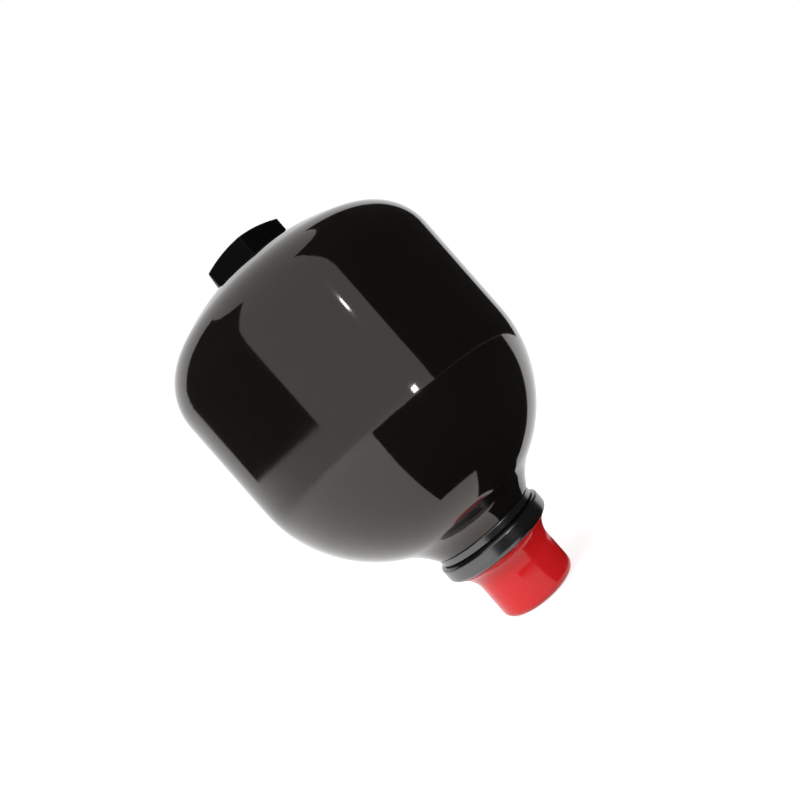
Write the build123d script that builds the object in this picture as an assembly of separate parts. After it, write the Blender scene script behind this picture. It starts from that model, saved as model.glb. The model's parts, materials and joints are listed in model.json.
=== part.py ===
from build123d import *
import math
import os

# Hydraulic accumulator, bladder type: a one-piece steel shell, a rubber gas bag inside,
# a gas valve under a hexagon cap at the top, and an oil port with a poppet at the bottom.
# Millimetres. +Z runs along the shell's axis towards the gas valve. Z = 0 is the flat end
# of the thread cap, on which the accumulator stands.

# Level of the lock nut's lower face above the thread cap's flat end
nut_face_z = 23.25

# Shell, outside
shell_radius = 57.0
straight_length = 40.4
top_knuckle_radius = 21.4
top_crown_radius = 90.45
lower_knuckle_inset = 4.16
lower_crown_extra = 7.86
neck_radius = 22.2
neck_fillet = 28.0
land_margin = 0.83
land_edge_fillet = 1.0

# Shell, inside
wall = 6.5
gas_land_thickness = 7.6
neck_bore_radius = 17.0
neck_length = 11.7
neck_seat_radius = 21.69
neck_seat_chamfer = 0.8
gas_bore_radius = 8.1
gas_countersink = 1.6

# Bladder
bladder_gap = 3.0
bladder_wall = 2.2
bladder_pad_radius = 19.0
bladder_pad_thickness = 1.5
bladder_low_knuckle_inset = 17.5
bladder_low_crown_extra = 45.5
bladder_poppet_gap = 1.0
bladder_lip = 2.5

# Steel insert in the bladder's top
insert_disc_radius = 15.0
insert_disc_thickness = 3.0
insert_boss_radius = 11.0
insert_boss_length = 6.0

# Gas valve body
stub_radius = 11.0
stub_height = 6.2
gas_shank_radius = 8.0
gas_shank_length = 17.0
gas_channel_radius = 1.5
core_bore_radius = 2.7
core_bore_depth = 11.3
stub_rim_bore_radius = 4.0
stub_rim_bore_depth = 1.2
spanner_slot_width = 3.0
spanner_slot_depth = 1.8
stub_chamfer = 0.8
gas_o_ring_section = 0.95

# Valve core
core_body_length = 7.0
core_body_drop = 1.3
core_chamber_radius = 1.4
core_neck_radius = 0.9
core_neck_length = 1.2
pin_radius = 0.5
pin_collar_radius = 1.15
pin_collar_thickness = 0.6
pin_collar_drop = 0.2
pin_proud = 0.6
valve_disc_radius = 1.9
valve_disc_thickness = 0.8
core_seal_thickness = 0.95
core_spring_wire = 0.3
core_spring_turns = 5

# Hexagon cap over the gas valve
hex_across_flats = 32.0
gas_cap_height = 9.2
gas_cap_floor = 2.5
gas_cap_chamfer_radius = 16.0
gas_cap_chamfer_angle = 17.0
hex_turn = 36.0
cap_seal_thickness = 1.6
cap_seal_width = 2.6
cap_seal_recess_depth = 1.4
cap_seal_offset = 0.6

# Oil port body
port_thread_radius = 13.5
port_flange_radius = 16.6
port_flange_thickness = 3.5
oil_bore_radius = 9.0
oil_chamber_radius = 10.0
web_thickness = 6.0
web_top_drop = 13.0
hub_radius = 4.8
web_hole_radius = 1.9
web_hole_count = 6
seat_height = 3.0
seat_width = 3.0
thread_chamfer = 1.2
bore_mouth_chamfer = 0.8

# Poppet and its spring
poppet_lift = 5.0
poppet_rim = 1.0
poppet_crown_height = 2.4
stem_radius = 2.5
stem_below_nut = 1.5
bush_wall = 1.0
bush_flange = 0.8
bush_flange_height = 0.9
stop_nut_across_flats = 8.0
stop_nut_height = 4.0
poppet_spring_wire = 1.2
poppet_spring_coil_radius = 5.1
poppet_spring_turns = 4

# Rings between port, neck and nut
nut_height = 6.95
spacer_height = 3.6
anti_extrusion_thickness = 4.0
anti_extrusion_chamfer = 1.5
seal_washer_thickness = 4.0
port_o_ring_section = 3.4
spigot_height = 2.1
spacer_radius = 21.5
spacer_edge = 0.9
nut_radius = 23.0
nut_top_edge = 1.2
nut_bottom_edge = 2.4
pin_hole_radius = 2.5
pin_hole_depth = 5.0
pin_hole_count = 2

# Thread cap of soft plastic
port_cap_radius = 16.05
port_cap_brim_radius = 20.2
port_cap_flare_height = 8.2
port_cap_brim_thickness = 0.8
port_cap_end_radius = 2.9
port_cap_wall = 1.5
port_cap_end_thickness = 2.0
port_cap_end_gap = 0.3
grip_rib_count = 8
grip_rib_width = 1.6
grip_rib_taper_height = 3.0

# Clearances
fit_gap = 0.05
running_gap = 0.08
cap_rim_gap = 0.2
seat_gap = 0.1
anti_extrusion_gap = 0.49

# Derived radii of the shell's domes and of the flat land under the hexagon cap
lower_knuckle_radius = shell_radius - lower_knuckle_inset
lower_crown_radius = lower_knuckle_radius + lower_crown_extra
hex_corner_radius = hex_across_flats / 2 / math.cos(math.pi / 6)
land_radius = hex_corner_radius + land_margin


def drop_between(hypotenuse, side):
    """Height of a right triangle from its longest side and its radial side."""
    return math.sqrt(hypotenuse**2 - side**2)


# Derived levels, from the port upwards
neck_end_z = nut_face_z + nut_height + spacer_height
neck_seat_z = neck_end_z + neck_length
lower_crown_centre_z = neck_seat_z + drop_between(lower_crown_radius - wall, neck_seat_radius)
lower_knuckle_z = lower_crown_centre_z - drop_between(lower_crown_extra, lower_knuckle_inset)
upper_knuckle_z = lower_knuckle_z + straight_length
top_crown_centre_z = upper_knuckle_z - drop_between(
    top_crown_radius - top_knuckle_radius, shell_radius - top_knuckle_radius
)
gas_land_z = top_crown_centre_z + drop_between(top_crown_radius, land_radius)
gas_ceiling_z = gas_land_z - gas_land_thickness
insert_top_z = gas_ceiling_z - bladder_pad_thickness
stub_top_z = gas_land_z + stub_height
flange_bottom_z = neck_seat_z + anti_extrusion_thickness
flange_top_z = flange_bottom_z + port_flange_thickness
web_top_z = flange_top_z - web_top_drop
web_bottom_z = web_top_z - web_thickness
port_end_z = port_cap_end_thickness + port_cap_end_gap
poppet_foot_z = flange_top_z - seat_height + poppet_lift + seat_gap
poppet_top_z = poppet_foot_z + seat_height + poppet_rim + poppet_crown_height
core_body_top_z = stub_top_z - core_body_drop
core_body_bottom_z = core_body_top_z - core_body_length
core_ledge_z = core_body_bottom_z + core_neck_length
collar_top_z = core_body_top_z - pin_collar_drop
collar_bottom_z = collar_top_z - pin_collar_thickness


def turned(profile):
    """Revolve a closed half section, drawn on the XZ plane, once round the Z axis."""
    return revolve(profile, axis=Axis.Z)


def closed(lines):
    """Make the face of a half section from edges that form one closed loop."""
    return make_face([Plane.XZ * line for line in lines])


def polygon(*points):
    """Half section with straight sides, from (radius, z) points in order."""
    return closed([Polyline(*points, close=True)])


def tube(outer, inner, low, high):
    """Plain ring between two radii and two levels."""
    return turned(polygon((inner, low), (outer, low), (outer, high), (inner, high)))


def rod(radius, low, high):
    """Plain round bar on the axis."""
    return Pos(0, 0, low) * Cylinder(radius, high - low, align=(Align.CENTER, Align.CENTER, Align.MIN))


def ring_at(radius, z):
    """Circular edges of a solid's outline are picked by their radius and level."""
    def matches(edge):
        same_level = abs(edge.center().Z - z) < 0.01
        return edge.geom_type == GeomType.CIRCLE and same_level and abs(edge.radius - radius) < 0.01
    return matches


def arc_point(centre, radius, angle):
    """Point on a circle of the half section, the angle in degrees from +X."""
    turn = math.radians(angle)
    return (centre[0] + radius * math.cos(turn), centre[1] + radius * math.sin(turn))


def arc(centre, radius, start, end):
    """Arc of the half section between two angles in degrees."""
    middle = (start + end) / 2
    return ThreePointArc(
        arc_point(centre, radius, start), arc_point(centre, radius, middle), arc_point(centre, radius, end)
    )


class Dome:
    """A crown on the axis that runs through a tangent knuckle into a straight side."""

    def __init__(self, side_radius, knuckle_z, knuckle_radius, crown_radius, up):
        self.knuckle_centre = (side_radius - knuckle_radius, knuckle_z)
        self.knuckle_radius = knuckle_radius
        self.crown_radius = crown_radius
        self.up = up
        drop = drop_between(crown_radius - knuckle_radius, self.knuckle_centre[0])
        self.crown_centre = (0, knuckle_z - up * drop)
        self.join_angle = up * math.degrees(math.atan2(drop, self.knuckle_centre[0]))

    def crown_z(self, radius):
        """Level of the crown at a distance from the axis."""
        return self.crown_centre[1] + self.up * drop_between(self.crown_radius, radius)

    def crown_radius_at(self, z):
        """Distance from the axis at which the crown meets a level."""
        return drop_between(self.crown_radius, z - self.crown_centre[1])

    def crown_angle(self, radius):
        """Angle of a crown point, seen from the crown's centre."""
        return self.up * math.degrees(math.acos(radius / self.crown_radius))

    def lines(self, from_radius):
        """Crown from a given radius outwards, then the knuckle to the straight side."""
        crown = arc(self.crown_centre, self.crown_radius, self.crown_angle(from_radius), self.join_angle)
        knuckle = arc(self.knuckle_centre, self.knuckle_radius, self.join_angle, 0)
        return [crown, knuckle]


outer_top = Dome(shell_radius, upper_knuckle_z, top_knuckle_radius, top_crown_radius, 1)
outer_low = Dome(shell_radius, lower_knuckle_z, lower_knuckle_radius, lower_crown_radius, -1)
inner_top = Dome(
    shell_radius - wall, upper_knuckle_z, top_knuckle_radius - wall, top_crown_radius - wall, 1
)
inner_low = Dome(
    shell_radius - wall, lower_knuckle_z, lower_knuckle_radius - wall, lower_crown_radius - wall, -1
)


def neck_blend():
    """Hollow curve from the lower knuckle to the neck's end rim, as a centre and two angles."""
    knuckle_r, knuckle_z = outer_low.knuckle_centre
    span = math.hypot(knuckle_r - neck_radius, knuckle_z - neck_end_z)
    reach = lower_knuckle_radius + neck_fillet
    at_rim = math.acos((neck_fillet**2 + span**2 - reach**2) / (2 * neck_fillet * span))
    direction = math.atan2(knuckle_z - neck_end_z, knuckle_r - neck_radius) - at_rim
    centre = arc_point((neck_radius, neck_end_z), neck_fillet, math.degrees(direction))
    knuckle_touch = math.degrees(math.atan2(knuckle_z - centre[1], knuckle_r - centre[0]))
    return centre, knuckle_touch, math.degrees(direction) + 180


def make_shell():
    """One forged piece: flat gas land, crown, straight side, round lower end, hollow neck."""
    centre, knuckle_touch, rim_angle = neck_blend()
    land_r = land_radius
    ceiling_r = inner_top.crown_radius_at(gas_ceiling_z)
    seat_r = neck_seat_radius
    side_r = shell_radius
    inner_r = shell_radius - wall
    outline = [
        Line((gas_bore_radius, gas_land_z), (land_r, gas_land_z)),
        *outer_top.lines(land_r),
        Line((side_r, upper_knuckle_z), (side_r, lower_knuckle_z)),
        arc(outer_low.knuckle_centre, lower_knuckle_radius, 0, knuckle_touch - 180),
        arc(centre, neck_fillet, knuckle_touch, rim_angle),
        Line((neck_radius, neck_end_z), (neck_bore_radius, neck_end_z)),
        Line((neck_bore_radius, neck_end_z), (neck_bore_radius, neck_seat_z)),
        Line((neck_bore_radius, neck_seat_z), (seat_r, neck_seat_z)),
        *inner_low.lines(seat_r),
        Line((inner_r, lower_knuckle_z), (inner_r, upper_knuckle_z)),
        *inner_top.lines(ceiling_r),
        Line((ceiling_r, gas_ceiling_z), (gas_bore_radius, gas_ceiling_z)),
        Line((gas_bore_radius, gas_ceiling_z), (gas_bore_radius, gas_land_z)),
    ]
    shell = turned(closed(outline))
    shell = chamfer(shell.edges().filter_by(ring_at(gas_bore_radius, gas_land_z)), gas_countersink)
    shell = fillet(shell.edges().filter_by(ring_at(land_r, gas_land_z)), land_edge_fillet)
    return chamfer(shell.edges().filter_by(ring_at(neck_bore_radius, neck_end_z)), neck_seat_chamfer)


def bladder_low(offset):
    """Lower end of the bag, whose crown stays just above the open poppet."""
    side_r = shell_radius - wall - bladder_gap
    knuckle = side_r - bladder_low_knuckle_inset
    crown = knuckle + bladder_low_crown_extra
    crown_centre_z = poppet_top_z + bladder_poppet_gap + crown
    knuckle_z = crown_centre_z - drop_between(bladder_low_crown_extra, bladder_low_knuckle_inset)
    return Dome(side_r - offset, knuckle_z, knuckle - offset, crown - offset, -1)


def make_bladder():
    """Moulded rubber bag with a thick pad at the top that wraps the steel insert's disc."""
    outer_gap = wall + bladder_gap
    inner_gap = outer_gap + bladder_wall
    bag_top = Dome(shell_radius - outer_gap, upper_knuckle_z, top_knuckle_radius - outer_gap,
                   top_crown_radius - outer_gap, 1)
    hollow_top = Dome(shell_radius - inner_gap, upper_knuckle_z, top_knuckle_radius - inner_gap,
                      top_crown_radius - inner_gap, 1)
    bag_low = bladder_low(0)
    hollow_low = bladder_low(bladder_wall)
    side_r = shell_radius - outer_gap
    hollow_r = shell_radius - inner_gap
    pad_r = bladder_pad_radius
    hole_r = gas_bore_radius
    disc_r = insert_disc_radius + fit_gap
    disc_bottom_z = insert_top_z - insert_disc_thickness
    lip_r = insert_boss_radius + bladder_lip
    lip_z = disc_bottom_z - bladder_lip
    lip_outer_r = hollow_top.crown_radius_at(lip_z)
    outline = [
        Line((hole_r, gas_ceiling_z), (pad_r, gas_ceiling_z)),
        Line((pad_r, gas_ceiling_z), (pad_r, bag_top.crown_z(pad_r))),
        *bag_top.lines(pad_r),
        Line((side_r, upper_knuckle_z), (side_r, bag_low.knuckle_centre[1])),
        *bag_low.lines(0),
        Line((0, bag_low.crown_z(0)), (0, hollow_low.crown_z(0))),
        *hollow_low.lines(0),
        Line((hollow_r, hollow_low.knuckle_centre[1]), (hollow_r, upper_knuckle_z)),
        *hollow_top.lines(lip_outer_r),
        Line((lip_outer_r, lip_z), (lip_r, lip_z)),
        Line((lip_r, lip_z), (lip_r, disc_bottom_z)),
        Line((lip_r, disc_bottom_z), (disc_r, disc_bottom_z)),
        Line((disc_r, disc_bottom_z), (disc_r, insert_top_z)),
        Line((disc_r, insert_top_z), (hole_r, insert_top_z)),
        Line((hole_r, insert_top_z), (hole_r, gas_ceiling_z)),
    ]
    return turned(closed(outline))


def make_bladder_stem():
    """Steel insert: a disc that the rubber grips and a boss that takes the valve's shank."""
    hole_r = gas_shank_radius + fit_gap
    disc_bottom_z = insert_top_z - insert_disc_thickness
    boss_z = disc_bottom_z - insert_boss_length
    return turned(polygon(
        (hole_r, insert_top_z), (insert_disc_radius, insert_top_z), (insert_disc_radius, disc_bottom_z),
        (insert_boss_radius, disc_bottom_z), (insert_boss_radius, boss_z), (hole_r, boss_z),
    ))


def make_gas_valve_body():
    """Threaded stub on the land, shank through the shell, stepped passage and two spanner slots."""
    shank_z = gas_land_z - gas_shank_length
    core_z = stub_top_z - core_bore_depth
    rim_z = stub_top_z - stub_rim_bore_depth
    body = turned(polygon(
        (gas_channel_radius, shank_z), (gas_shank_radius - stub_chamfer, shank_z),
        (gas_shank_radius, shank_z + stub_chamfer), (gas_shank_radius, gas_land_z),
        (stub_radius, gas_land_z), (stub_radius, stub_top_z - stub_chamfer),
        (stub_radius - stub_chamfer, stub_top_z), (stub_rim_bore_radius, stub_top_z),
        (stub_rim_bore_radius, rim_z), (core_bore_radius, rim_z),
        (core_bore_radius, core_z), (gas_channel_radius, core_z),
    ))
    slot = Pos(0, 0, stub_top_z - spanner_slot_depth) * Box(
        2 * stub_radius, spanner_slot_width, spanner_slot_depth, align=(Align.CENTER, Align.CENTER, Align.MIN)
    )
    core_wall = rod(stub_rim_bore_radius + stub_chamfer, core_z, stub_top_z)
    return body - (slot - core_wall)


def make_gas_valve_o_ring():
    """Ring that fills the corner between shank, stub shoulder and countersink."""
    section_r = gas_o_ring_section / 2
    centre_r = gas_shank_radius + fit_gap + section_r
    return Pos(0, 0, gas_land_z - section_r) * Torus(centre_r, section_r)


def make_valve_core_body():
    """Brass plug with a spring chamber above a narrow neck."""
    outer_r = core_bore_radius - fit_gap
    return turned(polygon(
        (core_neck_radius, core_body_bottom_z), (outer_r, core_body_bottom_z), (outer_r, core_body_top_z),
        (core_chamber_radius, core_body_top_z), (core_chamber_radius, core_ledge_z),
        (core_neck_radius, core_ledge_z),
    ))


def make_valve_core_pin():
    """Pin with a spring collar near its tip and the valve disc at its foot."""
    disc_top_z = core_body_bottom_z - core_seal_thickness
    disc_bottom_z = disc_top_z - valve_disc_thickness
    return turned(polygon(
        (0, disc_bottom_z), (valve_disc_radius, disc_bottom_z), (valve_disc_radius, disc_top_z),
        (pin_radius, disc_top_z), (pin_radius, collar_bottom_z), (pin_collar_radius, collar_bottom_z),
        (pin_collar_radius, collar_top_z), (pin_radius, collar_top_z),
        (pin_radius, core_body_top_z + pin_proud), (0, core_body_top_z + pin_proud),
    ))


def make_valve_core_seal():
    """Rubber washer between the valve disc and the core's foot."""
    low = core_body_bottom_z - core_seal_thickness
    return tube(valve_disc_radius, pin_radius, low, core_body_bottom_z)


def make_coil(coil_radius, wire, turns, low, high):
    """Round-wire compression spring between two levels."""
    pitch = (high - low - wire) / turns
    path = Pos(0, 0, low + wire / 2) * Helix(pitch, pitch * turns, coil_radius)
    section = Plane(path @ 0, z_dir=path % 0) * Circle(wire / 2)
    return sweep(section, path, is_frenet=True)


def make_gas_cap():
    """Hexagon cap, chamfered like a nut at both ends, hollow over the stub."""
    low = gas_land_z + cap_rim_gap
    high = low + gas_cap_height
    apothem = hex_across_flats / 2
    # The chamfer cone is drawn out past the corners
    blank_r = hex_corner_radius + land_margin
    drop = (blank_r - gas_cap_chamfer_radius) * math.tan(math.radians(gas_cap_chamfer_angle))
    envelope = turned(polygon(
        (0, low), (gas_cap_chamfer_radius, low), (blank_r, low + drop), (blank_r, high - drop),
        (gas_cap_chamfer_radius, high), (0, high),
    ))
    outline = Rot(0, 0, hex_turn) * RegularPolygon(apothem, 6, major_radius=False)
    prism = Pos(0, 0, low) * extrude(outline, gas_cap_height)
    bore = rod(stub_radius + running_gap, low, high - gas_cap_floor)
    inner_r = stub_radius + cap_seal_offset
    recess = tube(inner_r + cap_seal_width, 0, low, low + cap_seal_recess_depth)
    return (prism & envelope) - bore - recess


def make_gas_cap_seal():
    """Flat rubber ring in the rim's recess, proud of the rim so that it meets the land."""
    inner_r = stub_radius + cap_seal_offset
    low = gas_land_z
    high = gas_land_z + cap_rim_gap + cap_seal_recess_depth
    return tube(inner_r + cap_seal_width - seat_gap, inner_r, low, min(high, low + cap_seal_thickness))


def make_port_body():
    """Oil port: flange inside the shell, seat for the poppet, guide web, threaded shank."""
    thread_r = port_thread_radius
    seat_bottom_z = flange_top_z - seat_height
    body = turned(polygon(
        (oil_bore_radius + bore_mouth_chamfer, port_end_z), (thread_r - thread_chamfer, port_end_z),
        (thread_r, port_end_z + thread_chamfer), (thread_r, flange_bottom_z),
        (port_flange_radius, flange_bottom_z), (port_flange_radius, flange_top_z),
        (oil_chamber_radius + seat_width, flange_top_z), (oil_chamber_radius, seat_bottom_z),
        (oil_chamber_radius, web_top_z), (0, web_top_z), (0, web_bottom_z),
        (oil_bore_radius, web_bottom_z), (oil_bore_radius, port_end_z + bore_mouth_chamfer),
    ))
    guide = rod(stem_radius + running_gap + bush_wall, web_bottom_z, web_top_z)
    hole_circle = (hub_radius + oil_bore_radius) / 2
    holes = PolarLocations(hole_circle, web_hole_count)
    drilled = [
        place * Pos(0, 0, web_bottom_z) * Cylinder(
            web_hole_radius, web_thickness, align=(Align.CENTER, Align.CENTER, Align.MIN))
        for place in holes
    ]
    return body - guide - drilled


def make_poppet():
    """Mushroom valve: domed head with a conical seat face, on a guided stem."""
    head_z = poppet_foot_z
    cone_top_z = head_z + seat_height
    rim_z = cone_top_z + poppet_rim
    foot_r = oil_chamber_radius - seat_gap
    head_r = foot_r + seat_width
    crown_r = (head_r**2 + poppet_crown_height**2) / (2 * poppet_crown_height)
    crown_centre = (0, poppet_top_z - crown_r)
    edge_angle = math.degrees(math.acos(head_r / crown_r))
    stem_end_z = web_bottom_z - stop_nut_height - stem_below_nut
    outline = [
        Line((0, stem_end_z), (stem_radius, stem_end_z)),
        Line((stem_radius, stem_end_z), (stem_radius, head_z)),
        Line((stem_radius, head_z), (foot_r, head_z)),
        Line((foot_r, head_z), (head_r, cone_top_z)),
        Line((head_r, cone_top_z), (head_r, rim_z)),
        arc(crown_centre, crown_r, edge_angle, 90),
        Line((0, poppet_top_z), (0, stem_end_z)),
    ]
    return turned(closed(outline))


def make_poppet_bush():
    """Bronze bush pressed into the web, with a small flange on top as the spring's seat."""
    inner_r = stem_radius + running_gap
    outer_r = inner_r + bush_wall - fit_gap
    flange_z = web_top_z + bush_flange_height
    return turned(polygon(
        (inner_r, web_bottom_z), (outer_r, web_bottom_z), (outer_r, web_top_z),
        (outer_r + bush_flange, web_top_z), (outer_r + bush_flange, flange_z), (inner_r, flange_z),
    ))


def make_poppet_stop_nut():
    """Hexagon nut on the stem's foot, which meets the web when the poppet is up."""
    high = web_bottom_z
    nut = Pos(0, 0, high - stop_nut_height) * extrude(
        RegularPolygon(stop_nut_across_flats / 2, 6, major_radius=False), stop_nut_height)
    return nut - rod(stem_radius + fit_gap, high - stop_nut_height, high)


def make_poppet_spring():
    """Spring from the web to the poppet's head, round the bush's flange."""
    return make_coil(
        poppet_spring_coil_radius, poppet_spring_wire, poppet_spring_turns, web_top_z, poppet_foot_z)


def make_anti_extrusion_ring():
    """Rubber-covered ring on the shell's inner seat, under the port's flange."""
    inner_r = port_thread_radius + fit_gap
    outer_r = neck_seat_radius - anti_extrusion_gap
    low = neck_seat_z
    high = neck_seat_z + anti_extrusion_thickness
    return turned(polygon(
        (inner_r, low), (outer_r, low), (outer_r, high - anti_extrusion_chamfer),
        (outer_r - anti_extrusion_chamfer, high), (inner_r, high),
    ))


def make_port_seal_washer():
    """Steel washer in the neck's bore, against the anti-extrusion ring."""
    outer_r = neck_bore_radius - fit_gap
    return tube(outer_r, port_thread_radius + fit_gap, neck_seat_z - seal_washer_thickness, neck_seat_z)


def make_port_o_ring():
    """Round seal between the port's shank and the neck's bore."""
    section_r = port_o_ring_section / 2
    centre_r = (port_thread_radius + neck_bore_radius) / 2
    centre_z = neck_seat_z - seal_washer_thickness - section_r
    return Pos(0, 0, centre_z) * Torus(centre_r, section_r)


def make_port_backup_ring():
    """Flat ring that fills the bore between the O-ring and the spacer's spigot."""
    low = neck_end_z + spigot_height
    high = neck_seat_z - seal_washer_thickness - port_o_ring_section
    return tube(neck_bore_radius - fit_gap, port_thread_radius + fit_gap, low, high)


def make_spacer_ring():
    """Stepped ring: its spigot centres in the neck and its flange meets the neck's end."""
    inner_r = port_thread_radius + fit_gap
    spigot_r = neck_bore_radius - fit_gap
    low = neck_end_z - spacer_height
    spigot_top_z = neck_end_z + spigot_height
    edge = neck_seat_chamfer
    ring = turned(polygon(
        (inner_r, low), (spacer_radius, low), (spacer_radius, neck_end_z), (spigot_r, neck_end_z),
        (spigot_r, spigot_top_z - edge), (spigot_r - edge, spigot_top_z), (inner_r, spigot_top_z),
    ))
    rims = ring.edges().filter_by(ring_at(spacer_radius, low))
    rims += ring.edges().filter_by(ring_at(spacer_radius, neck_end_z))
    return fillet(rims, spacer_edge)


def make_lock_nut():
    """Round nut with softly rounded rims and radial holes for a pin spanner."""
    high = nut_face_z + nut_height
    ring = tube(nut_radius, port_thread_radius + fit_gap, nut_face_z, high)
    ring = fillet(ring.edges().filter_by(ring_at(nut_radius, nut_face_z)), nut_bottom_edge)
    ring = fillet(ring.edges().filter_by(ring_at(nut_radius, high)), nut_top_edge)
    drill = Cylinder(pin_hole_radius, pin_hole_depth, align=(Align.CENTER, Align.CENTER, Align.MAX))
    holes = [
        Rot(0, 0, index * 360 / pin_hole_count) * Pos(nut_radius, 0, nut_face_z + nut_height / 2)
        * Rot(0, 90, 0) * drill
        for index in range(pin_hole_count)
    ]
    return ring - holes


def make_port_cap():
    """Plastic thread cap: rounded end, straight wall, flared mouth and inner grip ribs."""
    inner_r = port_cap_radius - port_cap_wall
    flare_width = port_cap_brim_radius - port_cap_radius
    flare_r = (port_cap_flare_height**2 + flare_width**2) / (2 * flare_width)
    brim_z = nut_face_z - port_cap_brim_thickness
    flare_z = brim_z - port_cap_flare_height
    flare_centre = (port_cap_radius + flare_r, flare_z)
    flare_end = 180 - math.degrees(math.asin(port_cap_flare_height / flare_r))
    mouth_flare_r = flare_r + port_cap_wall
    mouth_end = 180 - math.degrees(math.asin((nut_face_z - flare_z) / mouth_flare_r))
    mouth_r = arc_point(flare_centre, mouth_flare_r, mouth_end)[0]
    end_r = port_cap_end_radius
    corner = (port_cap_radius - end_r, end_r)
    outline = [
        Line((0, 0), (corner[0], 0)),
        arc(corner, end_r, -90, 0),
        Line((port_cap_radius, end_r), (port_cap_radius, flare_z)),
        arc(flare_centre, flare_r, 180, flare_end),
        Line((port_cap_brim_radius, brim_z), (port_cap_brim_radius, nut_face_z)),
        Line((port_cap_brim_radius, nut_face_z), (mouth_r, nut_face_z)),
        arc(flare_centre, mouth_flare_r, mouth_end, 180),
        Line((inner_r, flare_z), (inner_r, port_cap_end_thickness)),
        Line((inner_r, port_cap_end_thickness), (0, port_cap_end_thickness)),
        Line((0, port_cap_end_thickness), (0, 0)),
    ]
    cup = turned(closed(outline))
    rib_r = port_thread_radius + running_gap
    # Each rib leans back below the flare so that the cap starts over the thread easily
    rib_section = make_face(Plane.XZ * Polyline(
        (rib_r, port_cap_end_thickness), (inner_r + fit_gap, port_cap_end_thickness),
        (inner_r + fit_gap, flare_z), (inner_r, flare_z),
        (rib_r, flare_z - grip_rib_taper_height), close=True))
    rib = extrude(rib_section, grip_rib_width / 2, both=True)
    ribs = [Rot(0, 0, index * 360 / grip_rib_count) * rib for index in range(grip_rib_count)]
    clear = rod(rib_r, port_cap_end_thickness, nut_face_z)
    return cup + [one - clear for one in ribs]


def make_valve_core_spring():
    """Light spring between the core's ledge and the pin's collar."""
    coil_radius = (pin_radius + core_chamber_radius) / 2
    return make_coil(coil_radius, core_spring_wire, core_spring_turns, core_ledge_z, collar_bottom_z)


nodes = {
    "shell": make_shell,
    "bladder": make_bladder,
    "bladder_stem": make_bladder_stem,
    "gas_valve_body": make_gas_valve_body,
    "gas_valve_o_ring": make_gas_valve_o_ring,
    "valve_core_body": make_valve_core_body,
    "valve_core_pin": make_valve_core_pin,
    "valve_core_seal": make_valve_core_seal,
    "valve_core_spring": make_valve_core_spring,
    "gas_cap": make_gas_cap,
    "gas_cap_seal": make_gas_cap_seal,
    "port_body": make_port_body,
    "poppet": make_poppet,
    "poppet_bush": make_poppet_bush,
    "poppet_stop_nut": make_poppet_stop_nut,
    "poppet_spring": make_poppet_spring,
    "anti_extrusion_ring": make_anti_extrusion_ring,
    "port_seal_washer": make_port_seal_washer,
    "port_o_ring": make_port_o_ring,
    "port_backup_ring": make_port_backup_ring,
    "spacer_ring": make_spacer_ring,
    "lock_nut": make_lock_nut,
    "port_cap": make_port_cap,
}

os.makedirs("parts", exist_ok=True)
for name, make in nodes.items():
    export_step(Part() + make(), "parts/" + name + ".step")
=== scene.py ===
import json
import math
import bpy
from mathutils import Matrix, Vector


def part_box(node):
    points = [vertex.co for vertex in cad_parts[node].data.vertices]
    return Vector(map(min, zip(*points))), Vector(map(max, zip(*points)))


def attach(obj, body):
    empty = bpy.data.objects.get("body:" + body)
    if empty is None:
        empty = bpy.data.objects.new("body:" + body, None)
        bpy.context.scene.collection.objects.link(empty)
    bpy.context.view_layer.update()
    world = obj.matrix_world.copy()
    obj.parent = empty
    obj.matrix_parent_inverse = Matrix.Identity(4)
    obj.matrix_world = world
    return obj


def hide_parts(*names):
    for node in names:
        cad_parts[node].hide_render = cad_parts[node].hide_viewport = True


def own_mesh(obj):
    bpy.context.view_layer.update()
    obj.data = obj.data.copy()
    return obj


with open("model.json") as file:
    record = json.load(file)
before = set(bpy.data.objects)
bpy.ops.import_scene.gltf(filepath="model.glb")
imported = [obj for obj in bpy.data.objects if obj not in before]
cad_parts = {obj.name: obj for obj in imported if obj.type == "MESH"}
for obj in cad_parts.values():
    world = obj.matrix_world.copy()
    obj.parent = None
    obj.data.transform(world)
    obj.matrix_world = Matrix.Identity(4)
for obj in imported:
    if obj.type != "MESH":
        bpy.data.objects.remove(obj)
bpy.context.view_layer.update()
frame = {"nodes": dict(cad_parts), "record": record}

bl_info = {
    "name": "Hydraulic accumulator",
    "version": (1, 0, 0),
    "blender": (4, 5, 0),
    "location": "View3D > Sidebar > Accumulator",
    "description": "Dresses the accumulator's solids with threads, finishes, camera and lights",
    "category": "Object",
}

# Lengths below are in millimetres unless a name or comment says otherwise
MM = 0.001
TURN = 2 * math.pi
# Points closer than this, in metres, are one point
MERGE_DISTANCE = 0.002 * MM
# Depth of a metric outside thread for each unit of its pitch
THREAD_DEPTH = 0.6134
# How far a thread's ridge reaches into the core that carries it
RIDGE_OVERLAP = 0.2
# How far a cutting piece reaches past what it cuts
CUT_MARGIN = 1.0


def clear_selection():
    """Leave edit mode and select nothing, so that an operator acts on its own object only."""
    if bpy.context.mode != "OBJECT":
        bpy.ops.object.mode_set(mode="OBJECT")
    bpy.ops.object.select_all(action="DESELECT")


def make_active(piece):
    """Select one object alone and make it active."""
    clear_selection()
    piece.select_set(True)
    bpy.context.view_layer.objects.active = piece


def settle(piece):
    """Write the object's place and turn into its mesh, so that the object sits at the origin."""
    make_active(piece)
    bpy.ops.object.transform_apply(location=True, rotation=True, scale=True)


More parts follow.
